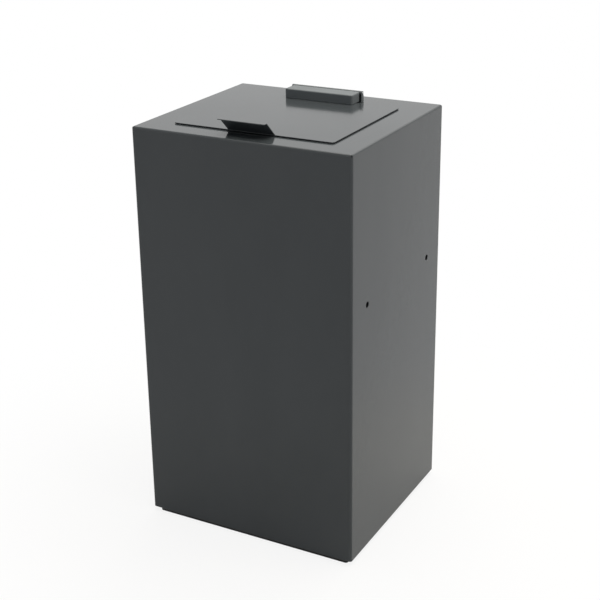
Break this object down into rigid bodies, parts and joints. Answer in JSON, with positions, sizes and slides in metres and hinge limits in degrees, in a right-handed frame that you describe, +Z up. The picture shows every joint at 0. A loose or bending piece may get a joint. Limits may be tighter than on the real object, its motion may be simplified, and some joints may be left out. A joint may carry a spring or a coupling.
{
  "type": "book drop box",
  "caption": "Tall sheet-metal box with a flat flap lid in its top, a bent finger tab, a raised lid hinge and a lockable rear door.",
  "frame": {"origin": "on the floor, under the middle of the casing", "axes": "+Z up, +X to the right of someone facing the front, +Y to the rear door"},
  "size_m": [0.45, 0.4, 0.8397],
  "materials": {
    "paint": "anthracite powder coat, semi-gloss",
    "black_paint": "black powder coat, matte",
    "zinc": "zinc-plated steel",
    "chrome": "polished nickel-chrome plating",
    "rubber": "matte black rubber",
    "felt": "dense needled felt"
  },
  "bodies": {
    "casing": {"casing_shell": "paint", "door_hinge_lower_frame_half": "paint", "door_hinge_lower_pin": "zinc", "door_hinge_upper_frame_half": "paint", "door_hinge_upper_pin": "zinc", "door_stop_lower": "zinc", "door_stop_upper": "zinc", "floor_mat": "felt", "floor_plate": "paint", "foot_screw_1": "zinc", "foot_screw_2": "zinc", "foot_screw_3": "zinc", "lid_hinge_leaf_fixed": "paint", "lid_hinge_pin": "zinc", "lock_strike": "zinc", "opening_collar": "paint", "plinth_bolt_1": "zinc", "plinth_bolt_2": "zinc", "plinth_bolt_3": "zinc", "plinth_bolt_4": "zinc", "plinth_ring": "black_paint"},
    "lid": {"arm_rivet_left_front": "zinc", "arm_rivet_left_rear": "zinc", "arm_rivet_right_front": "zinc", "arm_rivet_right_rear": "zinc", "block_screw_1": "zinc", "block_screw_2": "zinc", "block_screw_3": "zinc", "hinge_block": "paint", "leaf_screw_1": "zinc", "leaf_screw_2": "zinc", "leaf_screw_3": "zinc", "lid_buffer_left_front": "rubber", "lid_buffer_left_rear": "rubber", "lid_buffer_right_front": "rubber", "lid_buffer_right_rear": "rubber", "lid_hinge_leaf_moving": "paint", "lid_plate": "paint", "lid_stiffener": "paint", "lid_stop_arm_left": "zinc", "lid_stop_arm_right": "zinc"},
    "door": {"door_hinge_lower_door_half": "paint", "door_hinge_upper_door_half": "paint", "door_rib": "paint", "lock_body": "chrome", "lock_nut": "zinc", "rear_door": "paint"},
    "lock": {"lock_plug": "chrome", "lock_cam": "zinc", "cam_screw": "zinc"}
  },
  "joints": [
    {"name": "lid_hinge", "type": "hinge", "parent": "casing", "child": "lid", "pos_m": [0, 0.15, 0.828], "axis": [-1, 0, 0], "range_deg": [0, 85]},
    {"name": "door_hinge", "type": "hinge", "parent": "casing", "child": "door", "pos_m": [-0.196, 0.195, 0.41], "axis": [0, 0, 1], "range_deg": [0, 100]},
    {"name": "lock_turn", "type": "hinge", "parent": "door", "child": "lock", "pos_m": [0.172, 0.186, 0.42], "axis": [0, -1, 0], "range_deg": [0, 90]}
  ]
}
